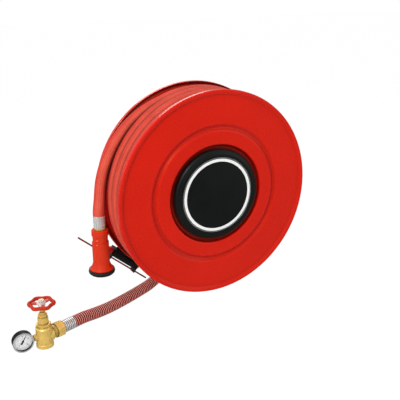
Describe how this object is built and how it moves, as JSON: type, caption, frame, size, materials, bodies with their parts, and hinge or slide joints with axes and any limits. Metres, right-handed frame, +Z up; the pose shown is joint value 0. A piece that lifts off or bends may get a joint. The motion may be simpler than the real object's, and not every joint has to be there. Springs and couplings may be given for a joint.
{
  "type": "fire hose reel",
  "caption": "Wall-mounted fire hose reel: hose wound on a flanged drum, shut-off nozzle, hose guide, ribbed feed hose, stop valve and gauge.",
  "frame": {"origin": "centre of the wall plate's bolt pattern, in the wall plane, on the drum's axis", "axes": "+X to the right seen from the room, +Y into the wall along the drum's axis, +Z up"},
  "size_m": [0.899, 0.28, 0.673],
  "materials": {
    "red_paint": "gloss powder coat",
    "axle_metal": "machined",
    "plated_steel": "zinc plated",
    "cast_brass": "cast and machined",
    "bush_plastic": "moulded",
    "seal_rubber": "matt",
    "packing": "braided",
    "black_plastic": "moulded",
    "white_print": "printed label",
    "hose_rubber": "fabric-marked red rubber",
    "feed_plastic": "ribbed",
    "nozzle_plastic": "moulded",
    "black_steel": "black paint",
    "rod_paint": "red-brown primer",
    "ball_plastic": "moulded",
    "wheel_red": "red enamel",
    "wheel_nut_metal": "cast",
    "gauge_black": "satin black",
    "dial_white": "printed",
    "needle_black": "matt",
    "gauge_glass": "clear"
  },
  "bodies": {
    "frame": {"wall_plate": "red_paint", "bracket": "red_paint", "axle": "axle_metal", "axle_screws": "plated_steel", "axle_washer": "plated_steel", "axle_circlip": "plated_steel", "inlet_elbow": "cast_brass", "hose_tail": "hose_rubber", "hose_ferrule": "plated_steel", "nozzle_tail": "cast_brass", "nozzle_seal": "seal_rubber", "nozzle_body": "nozzle_plastic", "guide_arm": "black_steel", "guide_rod": "rod_paint", "roller_pin": "plated_steel", "roller_ball": "ball_plastic", "feed_hose": "feed_plastic", "feed_ferrule_top": "plated_steel", "feed_ferrule_end": "plated_steel", "union_tail": "cast_brass", "union_nut": "cast_brass", "union_gasket": "seal_rubber", "valve_body": "cast_brass", "valve_bonnet": "cast_brass", "gland_nut": "cast_brass", "gland_packing": "packing", "gauge_stub": "cast_brass", "gauge_case": "gauge_black", "gauge_bezel": "gauge_black", "gauge_dial": "dial_white", "gauge_lens": "gauge_glass"},
    "drum": {"front_flange": "red_paint", "rear_flange": "red_paint", "drum_core": "red_paint", "hub_body": "axle_metal", "hub_outlet": "cast_brass", "bush_front": "bush_plastic", "bush_rear": "bush_plastic", "hub_seals": "seal_rubber", "tie_bolts": "plated_steel", "tie_nuts": "plated_steel", "hub_cap": "black_plastic", "cap_ring": "white_print", "hose_core": "hose_rubber", "hose_winding": "hose_rubber"},
    "nozzle_head": {"nozzle_barrel": "nozzle_plastic", "nozzle_bumper": "seal_rubber"},
    "roller": {"guide_roller": "black_plastic"},
    "disc": {"valve_disc": "cast_brass", "disc_washer": "seal_rubber"},
    "spindle": {"valve_stem": "cast_brass", "handwheel": "wheel_red", "wheel_nut": "wheel_nut_metal"},
    "needle": {"gauge_needle": "needle_black"}
  },
  "joints": [
    {"name": "drum_spin", "type": "hinge", "parent": "frame", "child": "drum", "pos_m": [0, -0.19, 0], "axis": [0, 1, 0], "continuous": true},
    {"name": "disc_lift", "type": "slide", "parent": "frame", "child": "disc", "axis": [0, 0, 1], "range_m": [0, 0.009]},
    {"name": "wheel_turn", "type": "hinge", "parent": "disc", "child": "spindle", "pos_m": [-0.51, -0.216, -0.25], "axis": [0, 0, 1], "range_deg": [0, 1080]},
    {"name": "nozzle_twist", "type": "hinge", "parent": "frame", "child": "nozzle_head", "pos_m": [-0.315, -0.1595, -0.16], "axis": [0, 0, 1], "range_deg": [0, 270]},
    {"name": "roller_spin", "type": "hinge", "parent": "frame", "child": "roller", "pos_m": [-0.20286, -0.086, -0.23836], "axis": [0.7615, 0, -0.6481], "continuous": true},
    {"name": "needle_swing", "type": "hinge", "parent": "frame", "child": "needle", "pos_m": [-0.57, -0.221, -0.343], "axis": [0, -1, 0], "range_deg": [-103, 167]}
  ],
  "couplings": [
    {"joint": "disc_lift", "follows": "wheel_turn", "m_per_rad": 0.00047746}
  ]
}
